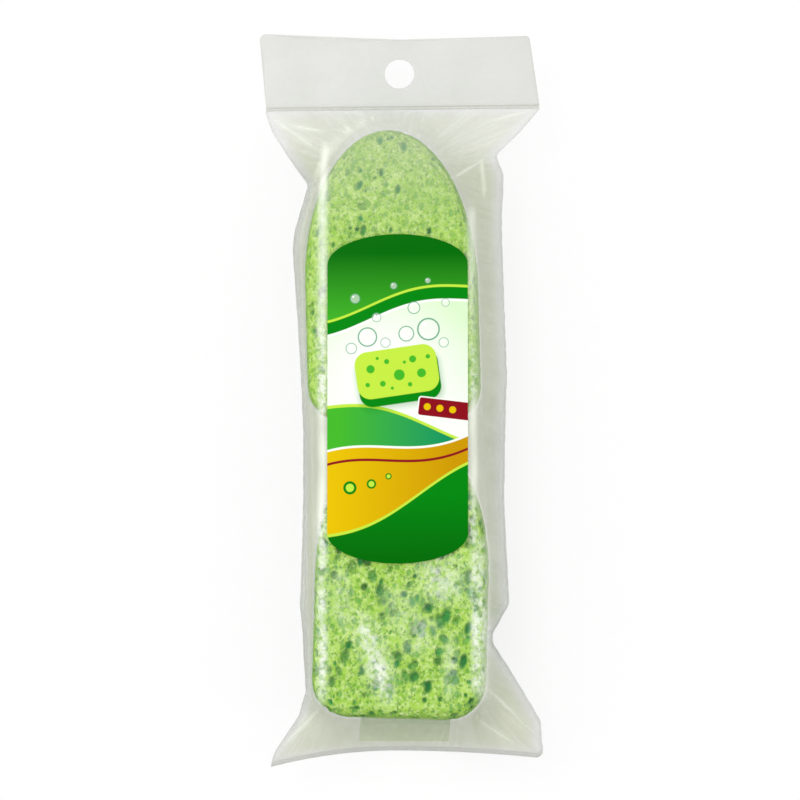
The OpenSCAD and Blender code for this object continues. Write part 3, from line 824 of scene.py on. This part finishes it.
def hazePatches(x, y):
    # The smears, with ragged sides
    total = np.zeros_like(x)
    for cx, cy, wide, long, lean, strength in smears:
        dx = x - cx * mm + lean * (y - cy * mm)
        dy = y - cy * mm
        ragged = 1 + 0.35 * waves(y + 2 * x, int(97 + cx), [3 * mm, 7 * mm])
        total += strength * np.exp(-((dx / (wide * mm * ragged)) ** 2) - (dy / (long * mm)) ** 4)
    return total


def filmPanel(side):
    front = side == "front"
    sign = 1 if front else -1
    shape = bag[side]
    x, y, fromSide, fromEnd = filmGrid()
    points = np.stack([x, y], 2)
    if front:
        flatZ, sideZ = spongeTopZ + shape["gap"], spongeTopZ - shape["drop"]
    else:
        flatZ, sideZ = backFilmBox[0].z + shape["gap"], spongeBottomZ - shape["drop"]
    flat = flatOutline(spongeTopZ, shape["grow"])
    turn = shape["turn"]
    fromFlat = np.where(insidePath(points, flat), 0, distanceToPath(points, flat, True))
    fromSides = np.maximum(fromSide - bag["seam"], 1e-6)
    fromEnds = np.maximum(fromEnd, 1e-6)
    fromSeam = (fromSides**-2 + fromEnds**-2) ** -0.5
    beyond = np.maximum(fromFlat - turn, 0)
    t = beyond / (beyond + fromSeam)
    z = np.where(
        fromFlat < turn,
        flatZ + (sideZ - flatZ) * (fromFlat / turn) ** 2.4,
        sideZ + (seamZ + seamLift(y) - sideZ) * t,
    )

    # Slack film sags a little between the sponge's side and the seam
    belly = np.sin(math.pi * t) * np.clip(t / 0.08, 0, 1)
    z -= sign * bag["sag"] * belly * ramp(fromSeam + beyond, 3 * mm, 9 * mm)

    # Creases, which die out at the seams and over the contents
    top = ramp(y, tipY - 16 * mm, tipY)
    bottom = ramp(y, endY + 8 * mm, endY - 2 * mm)
    calm = np.clip(fromSeam / (3.5 * mm), 0, 1) * np.clip(beyond / (3 * mm), 0, 1)
    ripple = filmRipple(x, y, top, bottom, shape["seeds"]) * calm
    z += sign * ripple
    if front:
        fall, uneven = crownOver(x, y)
        z += uneven * (fromFlat == 0) - fall * (fromFlat < turn)
    grid = np.stack([x, y, z], 2)
    normals = gridNormals(grid)
    normals *= np.sign(normals[..., 2:3] + 1e-12) * sign
    half = bag["thickness"] / 2
    centre = grid + np.array([0, 0, sign * 1.2 * half])
    outer = centre + normals * half
    inner = centre - normals * half
    upper, lower = (outer, inner) if front else (inner, outer)

    # How milky the film is: creased, stretched and doubled film is whiter
    bendAcross = np.abs(np.gradient(np.gradient(ripple, axis=1), axis=1))
    bendAlong = np.abs(np.gradient(np.gradient(ripple, axis=0), axis=0))
    crease = np.clip((bendAcross + bendAlong) / film["sharp"], 0, 1)
    fin = ramp(fromContents(points), -0.5 * mm, 0.5 * mm)
    level = np.where(x < 0, film["left"], film["right"])
    level = level + (film["tent"] - level) * top
    level = level + (film["foot"] - level) * bottom
    haze = film["over"] + level * fin + film["crease"] * crease * fin
    haze += film["edge"] * np.clip(1 - fromSide / bag["seam"], 0, 1) ** 0.5
    # Painted green light bounced from the sponges, on the fins away from the seams
    greenBounce = fin * ramp(fromSeam, 0, 4 * mm) * 0.9
    # Light caught where the film turns towards one side
    glint = np.clip(normals[..., 0] * -0.55 + normals[..., 1] * 0.45, -1, 1) * sign
    shine = film["glint"] * ramp(glint, 0.42, 0.62) * (1 - ramp(glint, 0.66, 0.86)) * fin * calm
    if front:
        shine += foldShine(points) + hazePatches(x, y) * (fromFlat < turn)
        haze += film["tip"] * ramp(y, 44 * mm, 84 * mm) * (1 - fin)
        haze += film["upper"] * ramp(y, 0, 30 * mm) * (1 - fin)
    shine = np.clip(shine, 0, 0.75)
    # The painted highlights of the folds and turns, with the smears, are added into the haze
    haze = haze + shine
    # Whiter colour where painted highlights or smears make up most of the haze
    milkAndShine = np.clip(shine / (haze + 1e-6) * 1.3, 0, 1)
    cling = ramp(shine, 0.03, 0.12) * (1 - fin) * (1 - 0.75 * ramp(y, 0, 40 * mm))

    verts, faces = closedSheet(upper, lower)
    if front:
        faces = [f[::-1] for f in faces]
    name = "bag_%s_skin" % side
    obj = newObject(name, verts, faces, "bag", hazyFilm, ["bag_%s_film" % side])
    looks = {"haze": np.clip(haze, 0.02, 0.85), "greenBounce": greenBounce, "milkAndShine": milkAndShine, "cling": cling}
    for key, values in looks.items():
        addAttribute(obj, key, np.concatenate([values.ravel()] * 2))
    print("made", name, len(faces), "faces")


# header
header = {
    "thickness": 0.5 * mm,
    "topLeft": (-45.6, 118.6),
    "topMiddle": (0, 116.15),
    "topRight": (42.0, 116.85),
    "holeRadius": 4.75 * mm,
    "holeAbove": 10 * mm,
    "foldAbove": 0.3 * mm,                        # of the header's lower edge
    "cornerRadii": (0.3, 0.3, 1.5, 60, 2),        # in mm, from the lower left round to the top left
    "spacing": 1.0 * mm,
    "wave": 0.35 * mm,
    "haze": 0.44,
    "cloudHaze": 0.03,
    "edgeHaze": 0.10,
    "foldHaze": 0.02,
    # a little painted green bounce light over the header
    "greenBounce": 0.05,
}


def roundedOutline(points, radii, steps=6):
    outline = []
    count = len(points)
    for i, (point, radius) in enumerate(zip(points, radii)):
        p = Vector(point)
        a = (Vector(points[i - 1]) - p).normalized()
        b = (Vector(points[(i + 1) % count]) - p).normalized()
        half = a.angle(b) / 2
        middle = (a + b).normalized()
        centre = p + middle * radius / math.sin(half)
        start = p + a * radius / math.tan(half) - centre
        end = p + b * radius / math.tan(half) - centre
        first = math.atan2(start.y, start.x)
        turn = (math.atan2(end.y, end.x) - first + 3 * math.pi) % (2 * math.pi) - math.pi
        for k in range(steps + 1):
            angle = first + turn * k / steps
            outline.append((centre.x + radius * math.cos(angle), centre.y + radius * math.sin(angle)))
    return np.array(outline)


def headerHeight(x, y):
    above = np.clip((y - foldY) / (8 * mm), 0, 1)
    wave = waves(x + 0.4 * y, 61, [34 * mm, 15 * mm]) + 0.6 * waves(y - 0.2 * x, 62, [22 * mm])
    return seamZ + header["wave"] * wave * above


def makeHeader():
    left, right = sealBox[0].x / mm + 0.2, sealBox[1].x / mm - 0.2
    low = (foldY - 0.5 * mm) / mm
    corners = [(left, low), (right, low), header["topRight"], header["topMiddle"], header["topLeft"]]
    corners = [(x * mm, y * mm) for x, y in corners]
    outline = roundedOutline(corners, [radius * mm for radius in header["cornerRadii"]], 8)
    pivotY = foldY + header["foldAbove"]
    hole = (0, pivotY + header["holeAbove"], header["holeRadius"])
    verts, faces = plate(outline, [hole], header["spacing"], headerHeight, header["thickness"])
    obj = newObject("header_sheet", verts, faces, None, hazyFilm, ["header_tab"], smooth=False)
    x, y = verts[:, 0], verts[:, 1]
    edge = np.exp(-((distanceToPath(verts[:, :2], outline, True) / (0.6 * mm)) ** 2))
    fold = np.exp(-(((y - foldY) / (0.8 * mm)) ** 2))
    cloud = waves(x, 63, [9 * mm, 26 * mm])
    haze = header["haze"] + header["cloudHaze"] * cloud
    haze += header["edgeHaze"] * edge + header["foldHaze"] * fold
    addAttribute(obj, "haze", haze)
    addAttribute(obj, "greenBounce", np.full(len(x), header["greenBounce"]))
    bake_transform(obj)
    print("made header")


# welds
seal = {
    "thickness": 0.36 * mm,
    "ribPitch": 0.8 * mm,
    "ribWidth": 0.3 * mm,
    "ribHeight": 0.48 * mm,
    "ribShare": 0.8,        # of the weld's width that a rib takes up
    "rim": 0.3 * mm,        # short of the film's edge at each end
    "points": 60,
    # painted green bounce light on the welds
    "greenBounce": 0.25,
    "header": {"width": 1.2 * mm, "haze": 0.40, "milkAndShine": 0.0},
    # the bottom weld is painted whiter, lightening the shade that falls on it
    "bottom": {"width": 1.5 * mm, "haze": 0.16, "milkAndShine": 0.35},
}


def weldTree(material):
    # A flat band along a path, with the fine cross ribs that the sealing jaws leave
    tree = bpy.data.node_groups.new("ribbedWeld", "GeometryNodeTree")
    tree.interface.new_socket(name="Geometry", in_out="INPUT", socket_type="NodeSocketGeometry")
    for name in ("Width", "Thickness", "Rib Pitch", "Rib Width", "Rib Height"):
        tree.interface.new_socket(name=name, in_out="INPUT", socket_type="NodeSocketFloat")
    tree.interface.new_socket(name="Geometry", in_out="OUTPUT", socket_type="NodeSocketGeometry")
    start = tree.nodes.new("NodeGroupInput")
    end = tree.nodes.new("NodeGroupOutput")
    # The band
    profile = tree.nodes.new("GeometryNodeCurvePrimitiveQuadrilateral")
    link(tree, start.outputs["Width"], profile.inputs["Width"])
    link(tree, start.outputs["Thickness"], profile.inputs["Height"])
    band = tree.nodes.new("GeometryNodeCurveToMesh")
    band.inputs["Fill Caps"].default_value = True
    link(tree, start.outputs["Geometry"], band.inputs["Curve"])
    link(tree, profile.outputs["Curve"], band.inputs["Profile Curve"])
    # The ribs
    spaced = tree.nodes.new("GeometryNodeCurveToPoints")
    spaced.mode = "LENGTH"
    link(tree, start.outputs["Geometry"], spaced.inputs["Curve"])
    link(tree, start.outputs["Rib Pitch"], spaced.inputs["Length"])
    size = tree.nodes.new("ShaderNodeCombineXYZ")
    short = tree.nodes.new("ShaderNodeMath")
    short.operation = "MULTIPLY"
    short.inputs[1].default_value = seal["ribShare"]
    link(tree, start.outputs["Width"], short.inputs[0])
    link(tree, start.outputs["Rib Width"], size.inputs["X"])
    link(tree, short.outputs[0], size.inputs["Y"])
    link(tree, start.outputs["Rib Height"], size.inputs["Z"])
    rib = tree.nodes.new("GeometryNodeMeshCube")
    link(tree, size.outputs[0], rib.inputs["Size"])
    turned = tree.nodes.new("FunctionNodeAlignRotationToVector")
    turned.axis = "X"
    turned.pivot_axis = "Z"
    link(tree, spaced.outputs["Tangent"], turned.inputs["Vector"])
    placed = tree.nodes.new("GeometryNodeInstanceOnPoints")
    link(tree, spaced.outputs["Points"], placed.inputs["Points"])
    link(tree, rib.outputs["Mesh"], placed.inputs["Instance"])
    link(tree, turned.outputs["Rotation"], placed.inputs["Rotation"])
    joined = tree.nodes.new("GeometryNodeJoinGeometry")
    link(tree, band.outputs["Mesh"], joined.inputs["Geometry"])
    link(tree, placed.outputs["Instances"], joined.inputs["Geometry"])
    real = tree.nodes.new("GeometryNodeRealizeInstances")
    link(tree, joined.outputs[0], real.inputs[0])
    finish = tree.nodes.new("GeometryNodeSetMaterial")
    finish.inputs["Material"].default_value = material
    link(tree, real.outputs[0], finish.inputs["Geometry"])
    link(tree, finish.outputs[0], end.inputs[0])
    return tree


def weldPath(name, x, y):
    # A curve object that carries the weld's tree, until its mesh is made
    curve = bpy.data.curves.new(name, "CURVE")
    curve.dimensions = "3D"
    path = curve.splines.new("POLY")
    path.points.add(len(x) - 1)
    for point, px, py in zip(path.points, x, y):
        point.co = (px, py, seamZ, 1)
    holder = bpy.data.objects.new(name, curve)
    bpy.context.scene.collection.objects.link(holder)
    return holder


def makeWelds():
    tree = weldTree(hazyFilm)
    left, right = edgeLines(np.array([sealY, footY]))
    for index, name in enumerate(("header", "bottom")):
        look = seal[name]
        x = np.linspace(left[index] + seal["rim"], right[index] - seal["rim"], seal["points"])
        if name == "header":
            y = np.full_like(x, (sealBox[0].y + sealBox[1].y) / 2)
        else:
            y = footY + look["width"] / 2 - footSag(x, left[1], right[1])
        holder = weldPath(name + "_path", x, y)
        weld = holder.modifiers.new("weld", "NODES")
        weld.node_group = tree
        sizes = {
            "Width": look["width"],
            "Thickness": seal["thickness"],
            "Rib Pitch": seal["ribPitch"],
            "Rib Width": seal["ribWidth"],
            "Rib Height": seal["ribHeight"],
        }
        for item in tree.interface.items_tree:
            if item.in_out == "INPUT" and item.name in sizes:
                weld[item.identifier] = sizes[item.name]
        evaluated = holder.evaluated_get(bpy.context.evaluated_depsgraph_get())
        mesh = bpy.data.meshes.new_from_object(evaluated)
        bpy.data.objects.remove(holder)
        obj = bpy.data.objects.new(name + "_weld", mesh)
        bpy.context.scene.collection.objects.link(obj)
        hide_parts(name + "_seal")
        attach(obj, "bag")
        for key, value in (("haze", look["haze"]), ("greenBounce", seal["greenBounce"]), ("milkAndShine", look["milkAndShine"])):
            addAttribute(obj, key, np.full(len(mesh.vertices), value))
        print("made", obj.name, len(mesh.polygons), "faces")


# labels
label = {
    "spacing": 1.0 * mm,
    "thickness": 0.15 * mm,
    "arch": 9.6 * mm,
    "archSteps": 40,
    "shift": (1.0 * mm, -1.2 * mm),   # it sits a little to the right and lower on the film
}


def makeLabel():
    low, high = labelBox
    middle = ((low.x + high.x) / 2 + label["shift"][0], (low.y + high.y) / 2 + label["shift"][1])
    half = ((high.x - low.x) / 2, (high.y - low.y) / 2 - label["arch"])
    turn = np.linspace(0, math.pi, label["archSteps"])
    arch = np.stack([half[0] * np.cos(turn), half[1] + label["arch"] * np.sin(turn)], 1)
    outline = np.vstack([middle + arch, middle - arch])

    def height(x, y):
        fall, uneven = crownOver(x, y)
        return (low.z + high.z) / 2 - fall + uneven

    verts, faces = plate(outline, [], label["spacing"], height, label["thickness"])
    ink = labelMaterial(middle)
    newObject("front_label_print", verts, faces, "bag", ink, ["front_label"], smooth=False)
    print("made label")


# sponges
sponge = {
    "voxel": 0.38 * mm,     # size of the mesh's faces
    "smoothing": 6,
    "upper": {
        "seed": 71,
        "pores": 2000,
        "small": 0.26 * mm,
        "large": 1.3 * mm,
        "bias": 7.0,        # a higher value makes large pores rarer
        "fine": 0.8,        # share of the fine holes between the pores
    },
    "lower": {"seed": 72, "pores": 2600, "small": 0.28 * mm, "large": 2.0 * mm, "bias": 5.5, "fine": 1.0},
    "grain": 0.10 * mm,
    "deepest": 2.4 * mm,
}


def makeSponge(which):
    look = sponge[which]
    source = cadNodes[which + "_sponge"]
    mesh = source.data.copy()
    merged = bmesh.new()
    merged.from_mesh(mesh)
    bmesh.ops.remove_doubles(merged, verts=merged.verts, dist=1e-5)
    merged.to_mesh(mesh)
    merged.free()
    rough = bpy.data.objects.new("rough", mesh)
    bpy.context.scene.collection.objects.link(rough)
    remesh = rough.modifiers.new("remesh", "REMESH")
    remesh.mode = "VOXEL"
    remesh.voxel_size = sponge["voxel"]
    softened = rough.modifiers.new("soften", "SMOOTH")
    softened.factor = 0.5
    softened.iterations = sponge["smoothing"]
    evaluated = rough.evaluated_get(bpy.context.evaluated_depsgraph_get())
    body = bpy.data.meshes.new_from_object(evaluated)
    bpy.data.objects.remove(rough)
    count = len(body.vertices)
    co = np.zeros(count * 3)
    body.vertices.foreach_get("co", co)
    co = co.reshape(-1, 3)
    normals = np.array([v.normal for v in body.vertices])
    rng = np.random.default_rng(look["seed"])
    tree = kdtree.KDTree(count)
    for i, p in enumerate(co):
        tree.insert(p, i)
    tree.balance()
    # Oval pores at random places, more open towards their middles
    depth = np.zeros(count)
    poreShadeAmount = np.zeros(count)
    for centre in rng.integers(0, count, look["pores"]):
        radius = look["small"] + (look["large"] - look["small"]) * rng.random() ** look["bias"]
        stretch = rng.uniform(1.0, 2.0)
        lean = rng.normal(0, 0.5)
        deep = min(sponge["deepest"], radius * rng.uniform(0.7, 1.8))
        darkness = min(1.0, rng.uniform(0.25, 1.15))
        n = normals[centre]
        faceUp = abs(n[2]) > 0.6
        up = np.array([math.sin(lean), math.cos(lean), 0.0] if faceUp else [0.0, 0.3, 1.0])
        up -= n * (up @ n)
        up /= np.linalg.norm(up)
        side = np.cross(n, up)
        near = [i for _, i, _ in tree.find_range(co[centre], radius * stretch)]
        offset = co[near] - co[centre]
        q = np.hypot(offset @ up / stretch, offset @ side) / radius
        cut = 1 - ramp(q, 0.35, 1.0)
        depth[near] = np.maximum(depth[near], deep * cut)
        # Painted shade inside the pore, strongest at its middle and stronger in larger pores
        shown = cut * darkness * min(1.0, 0.45 + radius / mm * 0.6)
        poreShadeAmount[near] = np.maximum(poreShadeAmount[near], shown)
    grain = np.array([noise.noise(Vector(p) * 900) + 0.6 * noise.noise(Vector(p) * 2300) for p in co])
    co -= normals * (depth + sponge["grain"] * (1 + grain))[:, None]
    body.vertices.foreach_set("co", co.ravel())
    obj = bpy.data.objects.new(which + "_sponge_pad", body)
    bpy.context.scene.collection.objects.link(obj)
    body.materials.clear()
    body.materials.append(cellulose)
    body.shade_smooth()
    addAttribute(obj, "poreShade", poreShadeAmount)
    addAttribute(obj, "fine", np.full(count, look["fine"]))
    # How upright the surface is, for painted shade on the sponge's sides
    addAttribute(obj, "side", ramp(1 - np.abs(normals[:, 2]), 0.45, 0.95))
    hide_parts(which + "_sponge")
    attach(obj, which + "_refill")
    print("made", obj.name, len(body.polygons), "faces")


# bases
base = {
    "bevel": 0.22 * mm,
    "segments": 2,
    "sharperThan": 40,      # degrees at an edge that is eased
    "flatterThan": 1,       # degrees at an edge that is taken out
}


def softenedCopy(nodeName, body, material):
    # A moulded piece: the CAD solid with its edges eased
    mesh = cadNodes[nodeName].data.copy()
    merged = bmesh.new()
    merged.from_mesh(mesh)
    bmesh.ops.remove_doubles(merged, verts=merged.verts, dist=1e-5)
    flatter = math.radians(base["flatterThan"])
    bmesh.ops.dissolve_limit(merged, angle_limit=flatter, verts=merged.verts, edges=merged.edges)
    merged.to_mesh(mesh)
    merged.free()
    obj = bpy.data.objects.new(nodeName + "_moulded", mesh)
    bpy.context.scene.collection.objects.link(obj)
    eased = obj.modifiers.new("eased", "BEVEL")
    eased.width = base["bevel"]
    eased.segments = base["segments"]
    eased.limit_method = "ANGLE"
    eased.angle_limit = math.radians(base["sharperThan"])
    eased.harden_normals = True
    mesh.materials.clear()
    mesh.materials.append(material)
    mesh.shade_smooth()
    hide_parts(nodeName)
    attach(obj, body)


def makeBases():
    for which in ("upper", "lower"):
        body = which + "_refill"
        for part in ("base_plate", "rail_left", "rail_right", "stop"):
            softenedCopy("%s_%s" % (which, part), body, greenPlastic)
        for side in ("left", "right"):
            arm = "%s_latch_%s" % (which, side)
            softenedCopy(arm, arm, greenPlastic)
        setMaterial(which + "_glue", hotMelt)
    setMaterial("back_label", plainPaper)
    print("made bases")


def setMaterial(nodeName, material):
    mesh = cadNodes[nodeName].data
    mesh.materials.clear()
    mesh.materials.append(material)


# studio
studio = {
    "height": 926 * mm,         # of the camera above the seams
    "frameWidth": 256.8 * mm,   # what the picture spans at the height of the seams
    "aside": (62 * mm, -60 * mm),
    "middle": (0.16 * mm, -0.65 * mm),
    "sensor": 36,
    "surround": 0.68,           # light of the white surroundings
    "floorSize": 3.0,
    "floorZ": -0.2 * mm,
    "floorColour": (0.86, 0.86, 0.86, 1),
    "floorGlow": 0.8,           # share of plain white in the floor, as the camera and reflections see it
    # A broad light above, and a long strip at each side for the lines of light along the film.
    # Each has its place, size and power.
    "lamps": {
        "key": ((-0.38, 0.5, 1.1), (0.6, 0.6), 5.0),
        "stripLeft": ((-0.75, 0.0, 0.55), (0.12, 1.0), 2.5),
        "stripRight": ((0.75, -0.1, 0.55), (0.12, 1.0), 2.5),
    },
}


def makeCamera(scene):
    cameraData = bpy.data.cameras.new("camera")
    camera = bpy.data.objects.new("camera", cameraData)
    scene.collection.objects.link(camera)
    # It looks down from a little to the lower right of the pack
    aim = Vector((*studio["middle"], seamZ))
    eye = Vector((*studio["aside"], seamZ + studio["height"]))
    back = (eye - aim).normalized()
    right = Vector((0, 1, 0)).cross(back).normalized()
    turned = Matrix((right, back.cross(right), back)).transposed().to_4x4()
    camera.matrix_world = Matrix.Translation(eye) @ turned
    cameraData.sensor_width = studio["sensor"]
    cameraData.lens = studio["sensor"] * (eye - aim).length / studio["frameWidth"]
    cameraData.clip_start = 0.01
    cameraData.clip_end = 20
    scene.camera = camera


def makeSurroundings(scene):
    # White, with a softer light on the object than the camera sees
    world = bpy.data.worlds.new("world")
    scene.world = world
    world.use_nodes = True
    tree = world.node_tree
    sky = tree.nodes["Background"]
    sky.inputs["Color"].default_value = (1, 1, 1, 1)
    path = tree.nodes.new("ShaderNodeLightPath")
    seen = maths(tree, "MAXIMUM", path.outputs["Is Camera Ray"], path.outputs["Is Transmission Ray"])
    link(tree, rangeOf(tree, seen, 0, 1, studio["surround"], 1.0), sky.inputs["Strength"])


def makeFloor(scene):
    size, z = studio["floorSize"], studio["floorZ"]
    corners = [(-size, -size, z), (size, -size, z), (size, size, z), (-size, size, z)]
    mesh = bpy.data.meshes.new("floor")
    mesh.from_pydata(corners, [], [(0, 1, 2, 3)])
    floor = bpy.data.objects.new("floor", mesh)
    scene.collection.objects.link(floor)
    material, tree, shader = makeMaterial("floorWhite", 1.0, 0.0)
    shader.inputs["Base Color"].default_value = studio["floorColour"]
    glow = node(tree, "ShaderNodeEmission", Strength=1.0)
    glow.inputs["Color"].default_value = (1, 1, 1, 1)
    path = tree.nodes.new("ShaderNodeLightPath")
    seen = maths(tree, "MAXIMUM", path.outputs["Is Camera Ray"], path.outputs["Is Transmission Ray"])
    seen = maths(tree, "MAXIMUM", seen, path.outputs["Is Glossy Ray"])
    both = tree.nodes.new("ShaderNodeMixShader")
    link(tree, maths(tree, "MULTIPLY", seen, studio["floorGlow"]), both.inputs[0])
    link(tree, shader.outputs[0], both.inputs[1])
    link(tree, glow.outputs[0], both.inputs[2])
    link(tree, both.outputs[0], tree.nodes["Material Output"].inputs["Surface"])
    mesh.materials.append(material)


def makeLamps(scene):
    for name, (place, size, power) in studio["lamps"].items():
        lamp = bpy.data.lights.new(name, "AREA")
        lamp.shape = "RECTANGLE"
        lamp.size, lamp.size_y = size
        lamp.energy = power
        holder = bpy.data.objects.new(name, lamp)
        scene.collection.objects.link(holder)
        holder.location = place
        holder.rotation_euler = Vector(place).to_track_quat("Z", "Y").to_euler()


def makeStudio():
    scene = bpy.context.scene
    scene.view_settings.view_transform = "Standard"
    makeCamera(scene)
    makeSurroundings(scene)
    makeFloor(scene)
    makeLamps(scene)
    print("made studio")


# everything in order
mottle = makeMottle()
hazyFilm = filmMaterial()
cellulose = spongeMaterial()
greenPlastic = plasticMaterial()
hotMelt = glueMaterial()
plainPaper = paperMaterial()
print("made materials")

makeStudio()
filmPanel("front")
filmPanel("back")
makeHeader()
makeWelds()
makeLabel()
makeSponge("upper")
makeSponge("lower")
makeBases()
